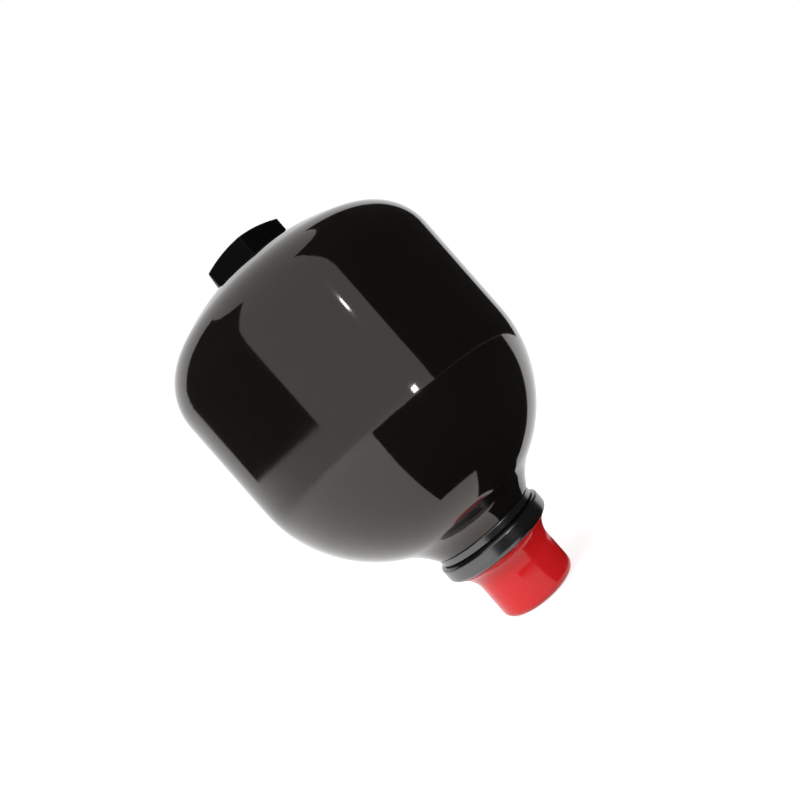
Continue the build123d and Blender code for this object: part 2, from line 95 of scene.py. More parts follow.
def recalculate_normals(piece):
    """Merge doubles and point every face outwards."""
    make_active(piece)
    bpy.ops.object.mode_set(mode="EDIT")
    bpy.ops.mesh.select_all(action="SELECT")
    bpy.ops.mesh.remove_doubles(threshold=MERGE_DISTANCE)
    bpy.ops.mesh.normals_make_consistent(inside=False)
    bpy.ops.object.mode_set(mode="OBJECT")


def smooth(piece, angle):
    """Shade smooth, with edges sharper than the angle kept crisp."""
    make_active(piece)
    bpy.ops.object.shade_smooth_by_angle(angle=math.radians(angle))


def apply_modifier(piece, kind, **settings):
    """Add one modifier with its settings and apply it."""
    make_active(piece)
    bpy.ops.object.modifier_add(type=kind)
    modifier = piece.modifiers[-1]
    for name, value in settings.items():
        setattr(modifier, name, value)
    bpy.ops.object.modifier_apply(modifier=modifier.name)


def join(pieces, name):
    """Join several objects into the first one."""
    clear_selection()
    for piece in pieces:
        piece.select_set(True)
    bpy.context.view_layer.objects.active = pieces[0]
    bpy.ops.object.join()
    pieces[0].name = name
    pieces[0].data.name = name
    return pieces[0]


def start_vertex(name, point):
    """A plane primitive merged to one vertex, the start of a drawn profile."""
    clear_selection()
    bpy.ops.mesh.primitive_plane_add(size=MM, location=(0, 0, 0))
    piece = bpy.context.object
    piece.name = name
    piece.data.name = name
    bpy.ops.object.mode_set(mode="EDIT")
    bpy.ops.mesh.select_all(action="SELECT")
    bpy.ops.mesh.merge(type="CENTER")
    bpy.ops.transform.translate(value=Vector((point[0], 0, point[1])) * MM)
    return piece


def draw_profile(name, points):
    """Extrude one vertex from point to point, (radius, z) in millimetres. Stays in edit mode."""
    piece = start_vertex(name, points[0])
    for last, here in zip(points, points[1:]):
        step = Vector((here[0] - last[0], 0, here[1] - last[1])) * MM
        bpy.ops.mesh.extrude_region_move(TRANSFORM_OT_translate={"value": step})
    return piece


def turned_piece(name, points, steps=96):
    """Spin a profile round the Z axis, merge its seam and poles, and point the faces outwards."""
    piece = draw_profile(name, points)
    bpy.ops.mesh.select_all(action="SELECT")
    bpy.ops.mesh.spin(steps=steps, angle=TURN, center=(0, 0, 0), axis=(0, 0, 1))
    bpy.ops.object.mode_set(mode="OBJECT")
    recalculate_normals(piece)
    return piece


def arc(centre, radius, start, end, count):
    """Points of an arc in the profile plane, angles in degrees, both ends included."""
    angles = [math.radians(start + (end - start) * step / count) for step in range(count + 1)]
    return [(centre[0] + radius * math.cos(a), centre[1] + radius * math.sin(a)) for a in angles]


def thread_ridge(name, root_radius, crest_radius, pitch, low, high, per_turn=64):
    """Ridge of a 60 degree thread: one section run up a helix, with its ends closed."""
    flank = (crest_radius - root_radius) * math.tan(math.radians(30))
    crest = pitch / 16
    foot = root_radius - RIDGE_OVERLAP
    start = low - pitch
    turns = math.ceil((high - low) / pitch) + 2
    below = start - crest - flank
    above = start + crest + flank
    piece = draw_profile(name, [
        (foot, below), (root_radius, below), (crest_radius, start - crest),
        (crest_radius, start + crest), (root_radius, above), (foot, above), (foot, below),
    ])
    bpy.ops.mesh.select_all(action="SELECT")
    bpy.ops.mesh.remove_doubles(threshold=MERGE_DISTANCE)
    bpy.ops.object.mode_set(mode="OBJECT")
    apply_modifier(
        piece, "SCREW", axis="Z", angle=TURN, screw_offset=pitch * MM, iterations=turns,
        steps=per_turn, render_steps=per_turn, use_merge_vertices=False,
    )
    make_active(piece)
    bpy.ops.object.mode_set(mode="EDIT")
    bpy.ops.mesh.select_all(action="SELECT")
    bpy.ops.mesh.fill_holes(sides=0)
    bpy.ops.object.mode_set(mode="OBJECT")
    recalculate_normals(piece)
    return piece


def combine(piece, other, operation):
    """Cut a piece by another closed one, or keep only what both share, and remove the other."""
    apply_modifier(piece, "BOOLEAN", object=other, operation=operation, solver="EXACT")
    make_active(other)
    bpy.ops.object.delete()


def box_piece(name, low, high):
    """Box between two corners in millimetres."""
    clear_selection()
    middle = [(a + b) / 2 * MM for a, b in zip(low, high)]
    size = [(b - a) * MM for a, b in zip(low, high)]
    bpy.ops.mesh.primitive_cube_add(size=1, location=middle, scale=size)
    piece = bpy.context.object
    piece.name = name
    settle(piece)
    return piece


def finish_piece(piece, body, node, shade_angle=32):
    """Shade a modelled piece, give it the finish of the CAD node that it stands for, hang it on its
    body and hide that node.
    """
    smooth(piece, shade_angle)
    wear_finish(piece, frame["nodes"][node].data.materials[0])
    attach(piece, body)
    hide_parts(node)


def mask_group(name, inputs, outputs):
    """Empty shader group with named float inputs and outputs."""
    group = bpy.data.node_groups.new(name, "ShaderNodeTree")
    for title, default in inputs.items():
        socket = group.interface.new_socket(
            name=title, in_out="INPUT", socket_type="NodeSocketFloat")
        socket.default_value = default
    for title, kind in outputs.items():
        group.interface.new_socket(name=title, in_out="OUTPUT", socket_type=kind)
    return group, group.nodes.new("NodeGroupInput"), group.nodes.new("NodeGroupOutput")


def edge_wear_and_glint_group():
    """Mask of rubbed edges, which on the hexagon cap also carries a painted edge highlight: high
    where the surface turns sharply, broken up by a noise.
    """
    group, given, result = mask_group(
        "edge_wear_and_glint", {"Radius": 0.0006, "Breakup": 260.0, "Amount": 1.0},
        {"Mask": "NodeSocketFloat"},
    )
    nodes = group.nodes
    links = group.links
    place = nodes.new("ShaderNodeTexCoord")
    bevel = nodes.new("ShaderNodeBevel")
    bevel.samples = 6
    geometry = nodes.new("ShaderNodeNewGeometry")
    dot = nodes.new("ShaderNodeVectorMath")
    dot.operation = "DOT_PRODUCT"
    turned = nodes.new("ShaderNodeMapRange")
    turned.inputs["From Min"].default_value = 0.995
    turned.inputs["From Max"].default_value = 0.88
    noise = nodes.new("ShaderNodeTexNoise")
    noise.inputs["Detail"].default_value = 3.0
    worn = nodes.new("ShaderNodeMapRange")
    worn.inputs["From Min"].default_value = 0.42
    worn.inputs["From Max"].default_value = 0.62
    both = nodes.new("ShaderNodeMath")
    both.operation = "MULTIPLY"
    scaled = nodes.new("ShaderNodeMath")
    scaled.operation = "MULTIPLY"
    links.new(given.outputs["Radius"], bevel.inputs["Radius"])
    links.new(bevel.outputs["Normal"], dot.inputs[0])
    links.new(geometry.outputs["Normal"], dot.inputs[1])
    links.new(dot.outputs["Value"], turned.inputs["Value"])
    links.new(place.outputs["Object"], noise.inputs["Vector"])
    links.new(given.outputs["Breakup"], noise.inputs["Scale"])
    links.new(noise.outputs["Fac"], worn.inputs["Value"])
    links.new(turned.outputs["Result"], both.inputs[0])
    links.new(worn.outputs["Result"], both.inputs[1])
    links.new(both.outputs["Value"], scaled.inputs[0])
    links.new(given.outputs["Amount"], scaled.inputs[1])
    links.new(scaled.outputs["Value"], result.inputs["Mask"])
    return group


def grain_group():
    """Two scales of noise on the object's own coordinates, as one height and one mottle mask."""
    group, given, result = mask_group(
        "grain", {"Fine": 1800.0, "Broad": 40.0},
        {"Height": "NodeSocketFloat", "Mottle": "NodeSocketFloat"},
    )
    nodes = group.nodes
    links = group.links
    place = nodes.new("ShaderNodeTexCoord")
    for socket, title, detail in (("Fine", "Height", 2.0), ("Broad", "Mottle", 4.0)):
        noise = nodes.new("ShaderNodeTexNoise")
        noise.inputs["Detail"].default_value = detail
        links.new(place.outputs["Object"], noise.inputs["Vector"])
        links.new(given.outputs[socket], noise.inputs["Scale"])
        links.new(noise.outputs["Fac"], result.inputs[title])
    return group


def turning_marks_group():
    """Fine rings round the Z axis, as a lathe leaves them."""
    group, given, result = mask_group(
        "turning_marks", {"Scale": 900.0}, {"Height": "NodeSocketFloat"})
    nodes = group.nodes
    links = group.links
    place = nodes.new("ShaderNodeTexCoord")
    parts = nodes.new("ShaderNodeSeparateXYZ")
    radius = nodes.new("ShaderNodeVectorMath")
    radius.operation = "LENGTH"
    flat = nodes.new("ShaderNodeCombineXYZ")
    summed = nodes.new("ShaderNodeMath")
    summed.operation = "ADD"
    noise = nodes.new("ShaderNodeTexNoise")
    noise.noise_dimensions = "1D"
    noise.inputs["Detail"].default_value = 3.0
    links.new(place.outputs["Object"], parts.inputs["Vector"])
    links.new(parts.outputs["X"], flat.inputs["X"])
    links.new(parts.outputs["Y"], flat.inputs["Y"])
    links.new(flat.outputs["Vector"], radius.inputs[0])
    links.new(radius.outputs["Value"], summed.inputs[0])
    links.new(parts.outputs["Z"], summed.inputs[1])
    links.new(summed.outputs["Value"], noise.inputs["W"])
    links.new(given.outputs["Scale"], noise.inputs["Scale"])
    links.new(noise.outputs["Fac"], result.inputs["Height"])
    return group


class Finish:
    """A material under construction: its shader node and short ways to add what feeds it."""

    def __init__(self, name, color, roughness, metallic=0.0, **shader_values):
        self.material = bpy.data.materials.new(name)
        self.material.use_nodes = True
        self.material.diffuse_color = (*color, 1)
        self.nodes = self.material.node_tree.nodes
        self.links = self.material.node_tree.links
        self.shader = self.nodes["Principled BSDF"]
        self.shader.inputs["Base Color"].default_value = (*color, 1)
        self.shader.inputs["Roughness"].default_value = roughness
        self.shader.inputs["Metallic"].default_value = metallic
        for title, value in shader_values.items():
            self.shader.inputs[title.replace("_", " ")].default_value = value
        self.color = color
        self.normal = None

    def group(self, name, **values):
        """Place one of the shared groups with its own values."""
        node = self.nodes.new("ShaderNodeGroup")
        node.node_tree = bpy.data.node_groups[name]
        for title, value in values.items():
            node.inputs[title].default_value = value
        return node

    def vary_color(self, mask, other):
        """Mix a second colour over the current one by a mask."""
        mix = self.nodes.new("ShaderNodeMix")
        mix.data_type = "RGBA"
        base = self.shader.inputs["Base Color"]
        if base.is_linked:
            self.links.new(base.links[0].from_socket, mix.inputs[6])
        else:
            mix.inputs[6].default_value = (*self.color, 1)
        mix.inputs[7].default_value = (*other, 1)
        self.links.new(mask, mix.inputs["Factor"])
        self.links.new(mix.outputs[2], base)

    def vary_roughness(self, mask, low, high, start=0.3, end=0.7):
        """Roughness that runs from low to high as a mask does from start to end."""
        span = self.nodes.new("ShaderNodeMapRange")
        span.inputs["From Min"].default_value = start
        span.inputs["From Max"].default_value = end
        span.inputs["To Min"].default_value = low
        span.inputs["To Max"].default_value = high
        self.links.new(mask, span.inputs["Value"])
        self.links.new(span.outputs["Result"], self.shader.inputs["Roughness"])

    def bump(self, height, strength, distance):
        """Bump from a height, stacked on any bump that is already there."""
        node = self.nodes.new("ShaderNodeBump")
        node.inputs["Strength"].default_value = strength
        node.inputs["Distance"].default_value = distance
        self.links.new(height, node.inputs["Height"])
        if self.normal is not None:
            self.links.new(self.normal, node.inputs["Normal"])
        self.normal = node.outputs["Normal"]
        self.links.new(self.normal, self.shader.inputs["Normal"])


def settings():
    """The scene's own accumulator values."""
    return bpy.context.scene.accumulator_finish


def gloss_black_paint():
    """Thick gloss paint over forged steel: slow waves, faint orange peel and a few dust nibs."""
    values = settings()
    gloss = values.paint_roughness
    finish = Finish("gloss_black_paint", tuple(values.paint_color), gloss, IOR=1.58)
    # Painted warm tint on every reflection of the shell, standing in for the warm light of the
    # surroundings
    finish.shader.inputs["Specular Tint"].default_value = (1.0, 0.94, 0.87, 1)
    mottle = finish.group("grain", Fine=700.0, Broad=16.0)
    finish.vary_color(mottle.outputs["Mottle"], tuple(c * 1.5 for c in values.paint_color))
    finish.vary_roughness(mottle.outputs["Mottle"], low=gloss, high=gloss + 0.06)
    finish.bump(mottle.outputs["Mottle"], strength=0.12, distance=0.6 * MM)
    finish.bump(mottle.outputs["Height"], strength=0.03, distance=0.03 * MM)
    return finish.material


def black_oxide():
    """Matt black hexagon cap with faintly lightened corners: partly rubbed wear, partly a painted
    edge highlight.
    """
    values = settings()
    finish = Finish("black_oxide", tuple(values.hex_color), 0.4, Specular_IOR_Level=0.02)
    grain = finish.group("grain", Fine=2600.0, Broad=90.0)
    lighter_edges = finish.group("edge_wear_and_glint", Radius=0.0009, Breakup=420.0, Amount=0.6)
    # Lighter colour along the corners: rubbed wear and a painted edge highlight in one
    finish.vary_color(lighter_edges.outputs["Mask"], (0.06, 0.06, 0.06))
    finish.vary_roughness(grain.outputs["Mottle"], low=0.32, high=0.46)
    finish.bump(grain.outputs["Height"], strength=0.12, distance=0.03 * MM)
    return finish.material


def phosphated_steel():
    """Satin dark ring finish, oiled, with a green-grey cast and fine turning marks."""
    values = settings()
    finish = Finish("phosphated_steel", tuple(values.ring_color), 0.2, IOR=1.95)
    grain = finish.group("grain", Fine=1600.0, Broad=70.0)
    marks = finish.group("turning_marks", Scale=1500.0)
    lighter_edges = finish.group("edge_wear_and_glint", Radius=0.0005, Breakup=300.0, Amount=0.4)
    finish.vary_color(grain.outputs["Mottle"], tuple(c * 1.7 for c in values.ring_color))
    finish.vary_color(lighter_edges.outputs["Mask"], (0.12, 0.12, 0.12))
    finish.vary_roughness(grain.outputs["Mottle"], low=0.16, high=0.3)
    finish.bump(marks.outputs["Height"], strength=0.12, distance=0.03 * MM)
    finish.bump(grain.outputs["Height"], strength=0.12, distance=0.03 * MM)
    return finish.material


def red_cap_plastic():
    """Soft semi-gloss plastic with a fine moulded skin and light scuffs."""
    values = settings()
    finish = Finish(
        "red_cap_plastic", tuple(values.cap_color), 0.14, IOR=1.46,
        Subsurface_Weight=0.12, Subsurface_Scale=1.2 * MM,
    )
    finish.shader.inputs["Subsurface Radius"].default_value = (1.0, 0.25, 0.2)
    grain = finish.group("grain", Fine=1100.0, Broad=55.0)
    lighter_edges = finish.group("edge_wear_and_glint", Radius=0.0008, Breakup=500.0, Amount=0.25)
    finish.vary_color(grain.outputs["Mottle"], tuple(min(1.0, c * 1.12) for c in values.cap_color))
    finish.vary_color(lighter_edges.outputs["Mask"], (0.86, 0.16, 0.14))
    finish.vary_roughness(grain.outputs["Mottle"], low=0.1, high=0.22)
    finish.bump(grain.outputs["Height"], strength=0.08, distance=0.05 * MM)
    return finish.material


def machined_steel():
    """Bright turned steel with lathe rings."""
    finish = Finish("machined_steel", (0.5, 0.5, 0.49), 0.3, metallic=1.0)
    marks = finish.group("turning_marks", Scale=2200.0)
    grain = finish.group("grain", Fine=1500.0, Broad=60.0)
    finish.vary_color(grain.outputs["Mottle"], (0.42, 0.42, 0.43))
    finish.vary_roughness(grain.outputs["Mottle"], low=0.2, high=0.4)
    finish.bump(marks.outputs["Height"], strength=0.2, distance=0.03 * MM)
    return finish.material


def spring_steel():
    """Drawn spring wire, slightly dark and oily."""
    finish = Finish("spring_steel", (0.35, 0.35, 0.36), 0.28, metallic=1.0)
    grain = finish.group("grain", Fine=2400.0, Broad=200.0)
    finish.vary_color(grain.outputs["Mottle"], (0.25, 0.25, 0.27))
    finish.vary_roughness(grain.outputs["Mottle"], low=0.2, high=0.38)
    finish.bump(grain.outputs["Height"], strength=0.1, distance=0.02 * MM)
    return finish.material


def valve_brass():
    """Turned brass of the valve core."""
    finish = Finish("valve_brass", (0.66, 0.45, 0.2), 0.25, metallic=1.0)
    marks = finish.group("turning_marks", Scale=3200.0)
    grain = finish.group("grain", Fine=2400.0, Broad=300.0)
    finish.vary_color(grain.outputs["Mottle"], (0.55, 0.36, 0.16))
    finish.vary_roughness(grain.outputs["Mottle"], low=0.2, high=0.36)
    finish.bump(marks.outputs["Height"], strength=0.15, distance=0.02 * MM)
    return finish.material


def bush_bronze():
    """Sintered bronze: open, slightly speckled."""
    finish = Finish("bush_bronze", (0.5, 0.29, 0.14), 0.42, metallic=1.0)
    grain = finish.group("grain", Fine=3200.0, Broad=900.0)
    finish.vary_color(grain.outputs["Mottle"], (0.3, 0.17, 0.08))
    finish.vary_roughness(grain.outputs["Mottle"], low=0.35, high=0.6)
    finish.bump(grain.outputs["Height"], strength=0.3, distance=0.03 * MM)
    return finish.material


def rubber(name, shade, roughness):
    """Moulded black rubber with a soft bloom."""
    finish = Finish(name, (shade, shade, shade), roughness, Specular_IOR_Level=0.4)
    grain = finish.group("grain", Fine=1300.0, Broad=80.0)
    finish.vary_color(grain.outputs["Mottle"], (shade * 1.8, shade * 1.8, shade * 1.75))
    finish.vary_roughness(grain.outputs["Mottle"], low=roughness - 0.1, high=roughness + 0.1)
    finish.bump(grain.outputs["Height"], strength=0.25, distance=0.05 * MM)
    return finish.material


def backup_plastic():
    """Off-white low-friction plastic."""
    finish = Finish("backup_plastic", (0.78, 0.76, 0.7), 0.4, IOR=1.38)
    grain = finish.group("grain", Fine=1200.0, Broad=120.0)
    finish.vary_color(grain.outputs["Mottle"], (0.7, 0.68, 0.6))
    finish.vary_roughness(grain.outputs["Mottle"], low=0.34, high=0.5)
    finish.bump(grain.outputs["Height"], strength=0.1, distance=0.03 * MM)
    return finish.material


def stage_paper(name, shade, glow):
    """Pale studio surface that shows as white behind the object and still takes its shadow."""
    material = bpy.data.materials.new(name)
    material.use_nodes = True
    nodes = material.node_tree.nodes
    links = material.node_tree.links
    nodes.clear()
    out = nodes.new("ShaderNodeOutputMaterial")
    paper = nodes.new("ShaderNodeBsdfDiffuse")
    paper.inputs["Color"].default_value = (shade, shade, shade, 1)
    light = nodes.new("ShaderNodeEmission")
    path = nodes.new("ShaderNodeLightPath")
    seen = nodes.new("ShaderNodeMath")
    seen.operation = "MAXIMUM"
    level = nodes.new("ShaderNodeMath")
    level.operation = "MULTIPLY"
    level.inputs[1].default_value = glow
    both = nodes.new("ShaderNodeAddShader")
    links.new(path.outputs["Is Camera Ray"], seen.inputs[0])
    links.new(path.outputs["Is Glossy Ray"], seen.inputs[1])
    links.new(seen.outputs["Value"], level.inputs[0])
    links.new(level.outputs["Value"], light.inputs["Strength"])
    links.new(paper.outputs["BSDF"], both.inputs[0])
    links.new(light.outputs["Emission"], both.inputs[1])
    links.new(both.outputs["Shader"], out.inputs["Surface"])
    return material


def wear_finish(piece, material):
    """Give a piece or CAD node one material."""
    piece.data.materials.clear()
    piece.data.materials.append(material)


class AccumulatorFinish(bpy.types.PropertyGroup):
    """Colours and surface values of the visible pieces."""

    paint_color: bpy.props.FloatVectorProperty(
        name="Shell paint", description="Colour of the gloss black shell paint",
        subtype="COLOR", size=3, min=0, max=1, default=(0.0044, 0.0038, 0.0033),
    )
    paint_roughness: bpy.props.FloatProperty(
        name="Paint roughness", description="Roughness of the shell's gloss",
        min=0, max=1, default=0.04,
    )
    hex_color: bpy.props.FloatVectorProperty(
        name="Hexagon cap", description="Colour of the matt black hexagon cap",
        subtype="COLOR", size=3, min=0, max=1, default=(0.0034, 0.0034, 0.0035),
    )
    ring_color: bpy.props.FloatVectorProperty(
        name="Neck rings", description="Colour of the spacer ring and the lock nut",
        subtype="COLOR", size=3, min=0, max=1, default=(0.004, 0.0048, 0.0045),
    )
    cap_color: bpy.props.FloatVectorProperty(
        name="Thread cap", description="Colour of the red plastic thread cap",
        subtype="COLOR", size=3, min=0, max=1, default=(0.68, 0.01, 0.012),
    )


class AccumulatorSizes(bpy.types.PropertyGroup):
    """Sizes of what is modelled here over the CAD solids, and of the stage."""

    port_pitch: bpy.props.FloatProperty(
        name="Port thread pitch", description="Pitch of the oil port's thread",
        subtype="DISTANCE", unit="LENGTH", min=0.0005, default=2.0 * MM,
    )
    stub_pitch: bpy.props.FloatProperty(
        name="Gas stub pitch", description="Pitch of the thread under the hexagon cap",
        subtype="DISTANCE", unit="LENGTH", min=0.0005, default=1.5 * MM,
    )
    camera_distance: bpy.props.FloatProperty(
        name="Camera distance", description="Distance from the lens to the shell's axis",
        subtype="DISTANCE", unit="LENGTH", min=0.1, default=243.75 * MM,
    )
    camera_height: bpy.props.FloatProperty(
        name="Camera height", description="Height of the lens above the cap's end",
        subtype="DISTANCE", unit="LENGTH", default=80.25 * MM,
    )
    view_width: bpy.props.FloatProperty(
        name="View width", description="Width of the view at the shell's axis",
        subtype="DISTANCE", unit="LENGTH", min=0.05, default=300.0 * MM,
    )
    camera_roll: bpy.props.FloatProperty(
        name="Camera roll", description="How far the upright accumulator leans in the picture",
        subtype="ANGLE", default=math.radians(41.25),
    )
    shift_x: bpy.props.FloatProperty(
        name="Shift across", description="Lens shift across the picture", default=0.0013,
    )
    shift_y: bpy.props.FloatProperty(
        name="Shift up", description="Lens shift up the picture", default=0.035,
    )


class ACCUMULATOR_OT_finishes(bpy.types.Operator):
    """Build the shared effects and give every CAD node its finish"""

    bl_idname = "accumulator.finishes"
    bl_label = "Finishes"

    def execute(self, context):
        edge_wear_and_glint_group()
        grain_group()
        turning_marks_group()
        bag_rubber = rubber("bag_rubber", 0.02, 0.6)
        finishes = {
            "gloss_black_paint": gloss_black_paint(),
            "black_oxide": black_oxide(),
            "phosphated_steel": phosphated_steel(),
            "red_cap_plastic": red_cap_plastic(),
            "machined_steel": machined_steel(),
            "spring_steel": spring_steel(),
            "valve_brass": valve_brass(),
            "bush_bronze": bush_bronze(),
            "bag_rubber": bag_rubber,
            "seal_rubber": rubber("seal_rubber", 0.014, 0.42),
            "backup_plastic": backup_plastic(),
        }
        for entry in frame["record"]["subparts"]:
            wear_finish(frame["nodes"][entry["node"]], finishes[entry["material_slot"]])
        return {"FINISHED"}


class ACCUMULATOR_OT_oil_port(bpy.types.Operator):
    """Model the oil port with its cut thread, flange, valve seat and drilled guide web"""

    bl_idname = "accumulator.oil_port"
    bl_label = "Oil port"

    def execute(self, context):
        sizes = context.scene.accumulator_sizes
        low, high = (corner.z / MM for corner in map(Vector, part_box("port_body")))
        pitch = sizes.port_pitch / MM
        crest = 13.5
        root = crest - THREAD_DEPTH * pitch
        lead_in = 0.15
        run_out = 0.6
        web_low = high - 19.0
        web_high = high - 13.0
        flange_radius = 16.6
        flange_edge = 0.4
        flange_low = high - 3.5
        seat_radius = 13.0
        chamber_radius = 10.0
        bush_radius = 3.58
        bore_radius = 9.0
        bore_edge = 0.8
        body = turned_piece("oil_port", [
            (bore_radius + bore_edge, low), (root - lead_in, low), (root, low + lead_in),
            (root, web_low - run_out), (crest, web_low + run_out), (crest, flange_low),
            (flange_radius - flange_edge, flange_low), (flange_radius, flange_low + flange_edge),
            (flange_radius, high - flange_edge), (flange_radius - flange_edge, high),
            (seat_radius, high), (chamber_radius, high - seat_radius + chamber_radius),
            (chamber_radius, web_high), (bush_radius, web_high), (bush_radius, web_low),
            (bore_radius, web_low), (bore_radius, low + bore_edge), (bore_radius + bore_edge, low),
        ])
        holes = 6
        hole_radius = 1.9
        hole_circle = 6.9
        web_middle = (web_low + web_high) / 2
        for index in range(holes):
            turn = TURN * index / holes
            place = (hole_circle * math.cos(turn), hole_circle * math.sin(turn), web_middle)
            clear_selection()
            bpy.ops.mesh.primitive_cylinder_add(
                vertices=32, radius=hole_radius * MM,
                depth=(web_high - web_low + 2 * CUT_MARGIN) * MM, location=Vector(place) * MM,
            )
            drill = context.object
            settle(drill)
            combine(body, drill, "DIFFERENCE")
        ridge = thread_ridge("port_thread", root, crest, pitch, low, web_low)
        # What is kept of the ridge: tapered at the open end and cut off at the run-out
        inside = root - 0.6
        outside = crest + 0.1
        taper = 0.05
        stop = web_low - 0.7
        envelope = turned_piece("port_envelope", [
            (inside, low), (root + taper, low), (outside, low + crest - root + taper),
            (outside, stop), (inside, stop), (inside, low),
        ])
        combine(ridge, envelope, "INTERSECT")
        finish_piece(join([body, ridge], "oil_port"), "root", "port_body")
        return {"FINISHED"}


class ACCUMULATOR_OT_gas_stub(bpy.types.Operator):
    """Model the gas valve's stub with its cut thread, stepped bore and two spanner slots"""

    bl_idname = "accumulator.gas_stub"
    bl_label = "Gas valve stub"

    def execute(self, context):
        sizes = context.scene.accumulator_sizes
        low, high = (corner.z / MM for corner in map(Vector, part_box("gas_valve_body")))
        land = low + 17.0
        pitch = sizes.stub_pitch / MM
        crest = 11.0
        root = crest - THREAD_DEPTH * pitch
        shank_radius = 8.0
        shank_edge = 0.8
        collar_radius = 10.9
        channel_radius = 1.5
        core_radius = 2.7
        core_low = high - 11.3
        mouth_radius = 4.0
        mouth_low = high - 1.2
        top_edge = 0.1
        body = turned_piece("gas_stub", [
            (channel_radius, low), (shank_radius - shank_edge, low),
            (shank_radius, low + shank_edge), (shank_radius, land),
            (collar_radius, land), (collar_radius, land + 0.7),
            (root, land + 1.2), (root, high - top_edge), (root - top_edge, high),
            (mouth_radius, high), (mouth_radius, mouth_low), (core_radius, mouth_low),
            (core_radius, core_low), (channel_radius, core_low), (channel_radius, low),
        ])
        ridge = thread_ridge("stub_thread", root, crest, pitch, land, high)
        # What is kept of the ridge: cut off above the collar and tapered at the top
        inside = root - 0.6
        outside = crest + 0.1
        start = land + 1.0
        envelope = turned_piece("stub_envelope", [
            (inside, start), (outside, start), (outside, high - crest + root),
            (root + top_edge, high), (inside, high), (inside, start),
        ])
        combine(ridge, envelope, "INTERSECT")
        slot_inner = 4.8
        slot_depth = 1.8
        slot_half = 1.5
        for side in (-1, 1):
            for piece in (body, ridge):
                near, far = sorted((side * slot_inner, side * (crest + CUT_MARGIN)))
                corner = (near, -slot_half, high - slot_depth)
                slot = box_piece("slot", corner, (far, slot_half, high + CUT_MARGIN))
                combine(piece, slot, "DIFFERENCE")
        finish_piece(join([body, ridge], "gas_stub"), "root", "gas_valve_body")
        return {"FINISHED"}


class ACCUMULATOR_OT_hexagon_cap(bpy.types.Operator):
    """Model the hexagon cap with turned chamfers, softly broken edges and its stepped bore"""

    bl_idname = "accumulator.hexagon_cap"
    bl_label = "Hexagon cap"

    def execute(self, context):
        low, high = (corner.z / MM for corner in map(Vector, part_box("gas_cap")))
        flat_radius = 16.0
        corner_radius = flat_radius / math.cos(math.radians(30))
        blank = corner_radius + 0.83
        drop = (blank - flat_radius) * math.tan(math.radians(17))
        clear_selection()
        # The prism starts longer than the cap, so that only its upright edges keep their bevel
        prism_margin = 3.0
        bpy.ops.mesh.primitive_cylinder_add(
            vertices=6, radius=corner_radius * MM, depth=(high - low + 2 * prism_margin) * MM,
            location=(0, 0, (low + high) / 2 * MM), rotation=(0, 0, math.radians(6)),
        )
        cap = context.object
        cap.name = "hexagon_cap"
        settle(cap)
        apply_modifier(cap, "BEVEL", width=0.6 * MM, segments=3, limit_method="ANGLE")
        cone = turned_piece("cap_cone", [
            (0, low), (flat_radius, low), (blank, low + drop), (blank, high - drop),
            (flat_radius, high), (0, high),
        ])
        combine(cap, cone, "INTERSECT")
        seal_radius = 14.2
        seal_top = low + 1.4
        thread_radius = 11.08
        bore_edge = 0.4
        bore_top = high - 2.5
        bore = turned_piece("cap_bore", [
            (0, low - CUT_MARGIN), (seal_radius, low - CUT_MARGIN), (seal_radius, seal_top),
            (thread_radius, seal_top), (thread_radius, bore_top - bore_edge),
            (thread_radius - bore_edge, bore_top), (0, bore_top),
        ])
        combine(cap, bore, "DIFFERENCE")
        finish_piece(cap, "gas_cap", "gas_cap", shade_angle=16)
        return {"FINISHED"}


class ACCUMULATOR_OT_thread_cap(bpy.types.Operator):
    """Model the red thread cap: flared thin mouth, inner ribs, sunk end face and moulding gate"""

    bl_idname = "accumulator.thread_cap"
    bl_label = "Thread cap"

    def execute(self, context):
        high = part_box("port_cap")[1][2] / MM
        wall = 1.5
        outer_radius = 16.05
        flare_z = high - 9.0
        flare_radius = 10.176
        flare_centre = (outer_radius + flare_radius, flare_z)
        outside = arc(flare_centre, flare_radius, 180, 126.31, 20)
        inside = arc(flare_centre, flare_radius + wall, 129.57, 180, 20)
        brim_radius = 20.2
        lip = 0.35
        lip_centre = (brim_radius - lip, high - lip)
        corner = 2.9
        corner_centre = (outer_radius - corner, corner)
        floor_z = 2.0
        floor_edge = 0.6
        bore_radius = outer_radius - wall
        # The end face is sunk, with the raised mark of the moulding gate in its middle
        cap = turned_piece("thread_cap", [
            (0, 0.2), (0.9, 0.2), (1.1, 0.45), (9.0, 0.45), (9.4, 0.1), (9.8, 0.0),
            *arc(corner_centre, corner, -90, 0, 12), *outside, *arc(lip_centre, lip, 0, 90, 4),
            *inside, (bore_radius, floor_z + floor_edge), (bore_radius - floor_edge, floor_z),
            (0, floor_z),
        ])
        rib_count = 8
        rib_inner = 13.6
        rib_outer = 14.7
        rib_half = 0.8
        rib_foot = 1.8
        ribs = []
        for index in range(rib_count):
            rib = box_piece("rib", (rib_inner, -rib_half, rib_foot), (rib_outer, rib_half, flare_z))
            apply_modifier(rib, "BEVEL", width=0.3 * MM, segments=2)
            make_active(rib)
            rib.rotation_euler.z = TURN * index / rib_count
            settle(rib)
            ribs.append(rib)
        finish_piece(join([cap, *ribs], "thread_cap"), "port_cap", "port_cap")
        return {"FINISHED"}


